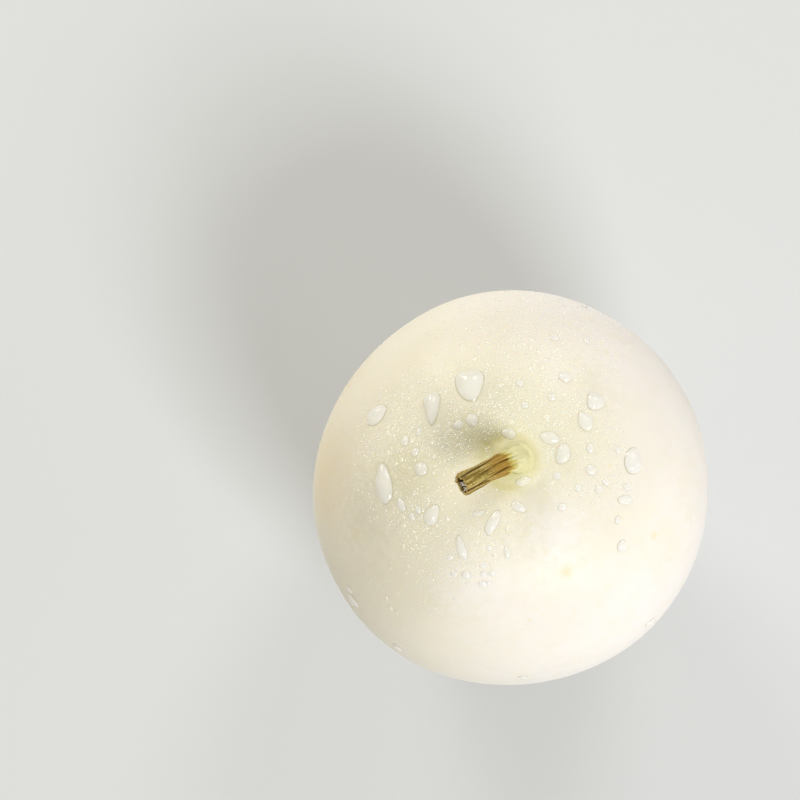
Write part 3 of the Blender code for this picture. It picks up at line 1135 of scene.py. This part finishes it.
def dry_zones(fruit, wetting):
    """The stem's foot and the larger drops."""
    root = fruit.standing @ Vector((0, 0, fruit.socket_floor))
    zones = [Zone(root, Vector((0, 0, 1)), *STEM_CLEARANCE)]
    for drop in DROPS:
        place, normal = wetting.seen_at(drop.picture_x, drop.picture_y)
        zones.append(Zone(place, normal, drop.length_mm, drop.width_mm, drop.heading_deg))
    return zones


def bead_template(sprinkle, contact):
    """A small dome with a flat foot just under z = 0, one metre in radius."""
    shape = bmesh.new()
    bmesh.ops.create_uvsphere(
        shape, u_segments=sprinkle.around, v_segments=2 * sprinkle.rings, radius=1
    )
    low = [vertex for vertex in shape.verts if vertex.co.z < EQUATOR]
    bmesh.ops.delete(shape, geom=low, context="VERTS")
    for vertex in shape.verts:
        out = math.hypot(vertex.co.x, vertex.co.y)
        vertex.co.z = dome_height(out, contact) - BEAD_FOOT
    bmesh.ops.holes_fill(shape, edges=[edge for edge in shape.edges if edge.is_boundary])
    return Template(shape)


def wet_place(wetting, draw):
    """A random place in one of the wet patches or on the sides. It may miss the fruit."""
    if draw.random() < SIDE_SHARE:
        turn = math.radians(draw.gauss(*SIDE_TOWARDS))
        return wetting.towards(ring_point(turn, height=draw.uniform(*SIDE_SLOPE)))
    patch = draw.choices(PATCHES, weights=[patch.weight for patch in PATCHES])[0]
    reach = PATCH_EDGE * patch.spread * math.sqrt(draw.betavariate(1, 2))
    turn = draw.uniform(0, math.tau)
    return wetting.seen_at(
        patch.picture_x + reach * math.cos(turn), patch.picture_y + reach * math.sin(turn)
    )


def sprinkled_mesh(sprinkle, number, water, wetting, draw, zones):
    """Fine drops strewn over the wet patches, clear of the stem's foot and the larger drops."""
    shape = bmesh.new()
    template = bead_template(sprinkle, water.contact)
    placed = 0
    while placed < number:
        place, normal = wet_place(wetting, draw)
        radius = sprinkle.least + (sprinkle.greatest - sprinkle.least) * draw.random() ** 2
        if place is None or place.xy.length > STEEPEST:
            continue
        if any(zone.covers(place, radius) for zone in zones):
            continue
        along, across, up = lie(normal, draw.gauss(*BEAD_HEADING))
        stretch = draw.uniform(*BEAD_STRETCH)
        height = radius * 2 * water.dome * draw.uniform(*BEAD_RISE)
        columns = (along * radius * stretch, across * radius / stretch, up * height)
        turn = Matrix(columns).transposed()
        template.stamp(shape, lambda corner: place + turn @ corner)
        placed += 1
    return smooth_mesh(shape, sprinkle.name)


def water_material(name, colours, painted_reflection_share, bending):
    """Clear water that lets lamps reach the skin. Its white share is painted reflection and
    focused light, and its edge tint is painted shade.
    """
    tint, painted_edge_shade, shade = colours
    graph = Graph(name)
    edge = graph.attribute(RIM).rise(0.88, 1.0)
    surface = graph.node(
        "ShaderNodeBsdfPrincipled",
        None,
        {
            # Painted shade at the edge: the tint turns to the edge tint towards the rim.
            "Base Color": graph.mix(edge * 0.8, tint, painted_edge_shade),
            "Roughness": 0.03,
            "IOR": bending,
            "Transmission Weight": 1 - painted_reflection_share,
        },
    )
    through = graph.node("ShaderNodeBsdfTransparent", None, {"Color": (*shade, 1)})
    for path in ("Is Diffuse Ray", "Is Shadow Ray"):
        ray = graph.node("ShaderNodeLightPath", output=path)
        surface = graph.node("ShaderNodeMixShader", None, {0: ray, 1: surface, 2: through})
    return graph.finish(surface)


# Pieces


def add_object(name, data):
    made = bpy.data.objects.new(name, data)
    bpy.context.scene.collection.objects.link(made)
    return made


def add_piece(name, mesh, replaced=None):
    piece = add_object(name, mesh)
    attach(piece, BODY)
    if replaced:
        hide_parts(replaced)
    return piece


class MELON_OT_skin(bpy.types.Operator):
    """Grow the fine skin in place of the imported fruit"""

    bl_idname = "melon.skin"
    bl_label = "Melon skin"

    def execute(self, context):
        fruit = Fruit(context.scene.melon_fruit)
        skin = add_piece("melon_skin", fruit_mesh(fruit), "fruit")
        wetting = Wetting(skin, context.scene.melon_stage)
        skin.data.materials.append(skin_material(fruit, wetting))
        return {"FINISHED"}


class MELON_OT_stem(bpy.types.Operator):
    """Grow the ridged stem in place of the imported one"""

    bl_idname = "melon.stem"
    bl_label = "Dry stem"

    def execute(self, context):
        stem = Stem(Fruit(context.scene.melon_fruit), context.scene.melon_stem)
        piece = add_piece("dry_stem", stem_mesh(stem), "stem")
        piece.data.materials.append(stem_material(stem))
        return {"FINISHED"}


class MELON_OT_water(bpy.types.Operator):
    """Set the drops, the beads and the mist on the skin"""

    bl_idname = "melon.water"
    bl_label = "Water"

    def execute(self, context):
        water = context.scene.melon_water
        fruit = Fruit(context.scene.melon_fruit)
        wetting = Wetting(bpy.data.objects["melon_skin"], context.scene.melon_stage)
        zones = dry_zones(fruit, wetting)
        draw = random.Random(water.seed)
        colours = (water.water_colour, water.painted_edge_shade_colour, water.shade_colour)
        clear = water_material("water", colours, water.painted_reflection_share, water.bending)
        colours = (water.mist_colour, water.mist_colour, water.mist_shade)
        misty = water_material("mist", colours, water.mist_painted_reflection_share, water.mist_bending)
        drops = add_piece("large_drops", drops_mesh(water, wetting, draw))
        drops.data.materials.append(clear)
        for sprinkle, number in ((BEADS, water.bead_count), (MIST, water.mist_count)):
            mesh = sprinkled_mesh(sprinkle, number, water, wetting, draw, zones)
            add_piece(sprinkle.name, mesh).data.materials.append(misty)
        return {"FINISHED"}


# The stage

CLOUD_GRAIN, CLOUD_SHARE = 0.35, 0.15  # the faint clouds in the floor
LAMP_DISTANCE, LAMP_SIDE = 1.3, 0.5
LAMP_AIM = Vector((0, 0, 80 * MM))


class Lamp(NamedTuple):
    """A square soft light, aimed at the middle of the melon."""

    name: str
    azimuth_deg: float
    elevation_deg: float
    watts: float
    tint: tuple


LAMPS = (
    Lamp("key", -62, 40, 11.9, (0.98, 0.99, 1.0)),
    Lamp("back_fill", 65, 40, 4.1, (1.0, 0.99, 0.96)),
    Lamp("left_fill", 122, 20, 7.8, (1.0, 0.98, 0.94)),
    Lamp("left_glow", 182, 12, 1.25, (1.0, 0.84, 0.60)),
    Lamp("right_glow", -12, 14, 1.2, (1.0, 0.93, 0.78)),
)


def add_floor(stage):
    graph = Graph("floor")
    clouds = graph.noise(CLOUD_GRAIN) * CLOUD_SHARE
    tone = graph.mix(clouds, stage.floor_colour, stage.cloud_colour)
    paint = graph.node("ShaderNodeBsdfPrincipled", None, {"Base Color": tone, "Roughness": 0.75})
    shape = bmesh.new()
    bmesh.ops.create_grid(shape, x_segments=1, y_segments=1, size=stage.floor_side / 2)
    mesh = plain_mesh(shape, "floor")
    mesh.materials.append(graph.finish(paint))
    add_object("floor", mesh)


def add_lamp(lamp):
    up = math.radians(lamp.elevation_deg)
    out = ring_point(math.radians(lamp.azimuth_deg), math.cos(up), math.sin(up))
    data = bpy.data.lights.new(lamp.name, "AREA")
    data.shape = "SQUARE"
    data.size = LAMP_SIDE
    data.energy = lamp.watts
    data.color = lamp.tint
    light = add_object(lamp.name, data)
    light.location = LAMP_AIM + out * LAMP_DISTANCE
    light.rotation_euler = out.to_track_quat("Z", "Y").to_euler()


def add_sky(stage):
    world = bpy.data.worlds.new("soft_sky")
    world.use_nodes = True
    sky = world.node_tree.nodes["Background"]
    sky.inputs["Color"].default_value = (*stage.sky_colour, 1)
    sky.inputs["Strength"].default_value = stage.sky_strength
    bpy.context.scene.world = world


def add_camera(stage):
    data = bpy.data.cameras.new("camera")
    data.sensor_fit = "HORIZONTAL"
    data.sensor_width = SENSOR_SIDE
    data.lens = stage.lens
    camera = add_object("camera", data)
    camera.matrix_world = camera_place(stage)
    bpy.context.scene.camera = camera


class MELON_OT_stage(bpy.types.Operator):
    """Set the floor, the lights and the camera"""

    bl_idname = "melon.stage"
    bl_label = "Stage"

    def execute(self, context):
        stage = context.scene.melon_stage
        add_floor(stage)
        for lamp in LAMPS:
            add_lamp(lamp)
        add_sky(stage)
        add_camera(stage)
        context.scene.view_settings.view_transform = "Standard"
        return {"FINISHED"}


# Panel and registration


class MELON_PT_panel(bpy.types.Panel):
    bl_label = "Muskmelon"
    bl_idname = "MELON_PT_panel"
    bl_space_type = "VIEW_3D"
    bl_region_type = "UI"
    bl_category = "Muskmelon"

    def draw(self, context):
        for operator in OPERATORS:
            self.layout.operator(operator.bl_idname)
        for name, group in SETTINGS.items():
            box = self.layout.box()
            settings = getattr(context.scene, name)
            for prop in group.__annotations__:
                box.prop(settings, prop)


OPERATORS = (MELON_OT_stage, MELON_OT_skin, MELON_OT_stem, MELON_OT_water)
CLASSES = (*SETTINGS.values(), *OPERATORS, MELON_PT_panel)


def register():
    for item in CLASSES:
        bpy.utils.register_class(item)
    for name, group in SETTINGS.items():
        setattr(bpy.types.Scene, name, PointerProperty(type=group))


def unregister():
    for name in SETTINGS:
        delattr(bpy.types.Scene, name)
    for item in reversed(CLASSES):
        bpy.utils.unregister_class(item)


def main():
    register()
    bpy.ops.melon.stage()
    bpy.ops.melon.skin()
    bpy.ops.melon.stem()
    bpy.ops.melon.water()


if __name__ == "__main__":
    main()
